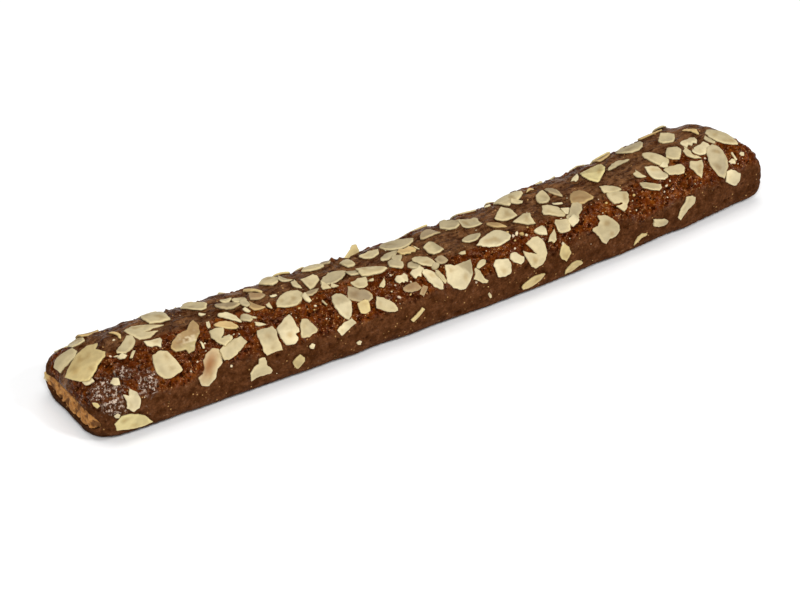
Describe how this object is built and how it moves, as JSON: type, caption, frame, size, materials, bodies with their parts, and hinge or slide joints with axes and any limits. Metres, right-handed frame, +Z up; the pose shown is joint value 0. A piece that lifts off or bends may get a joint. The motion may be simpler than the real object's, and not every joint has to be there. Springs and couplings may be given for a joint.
{
  "type": "filled speculaas bar",
  "caption": "Long, low bar of dark spiced speculaas dough baked round a flat rope of almond paste, egg-washed on top and strewn with flaked almonds; the paste shows at the ends.",
  "frame": {"origin": "centre of the bar's box, on the flat underside that it rests on", "axes": "+X along the bar towards its slanted end, +Z up through the strewn top, +Y across the bar towards the hollow side of its slight bow"},
  "size_m": [0.2994, 0.0478, 0.0276],
  "materials": {
    "baked_speculaas": "dark brown baked spiced dough, porous, with a thin uneven egg wash on top and a matte lower side",
    "almond_paste": "baked almond paste, tan with darker toasted specks, rough and crumbly",
    "flaked_almond": "pale ivory flaked almond, satin, with a thin brown edge of skin here and there"
  },
  "bodies": {
    "root": {"speculaas_dough": "baked_speculaas", "almond_filling": "almond_paste"}
  },
  "joints": []
}
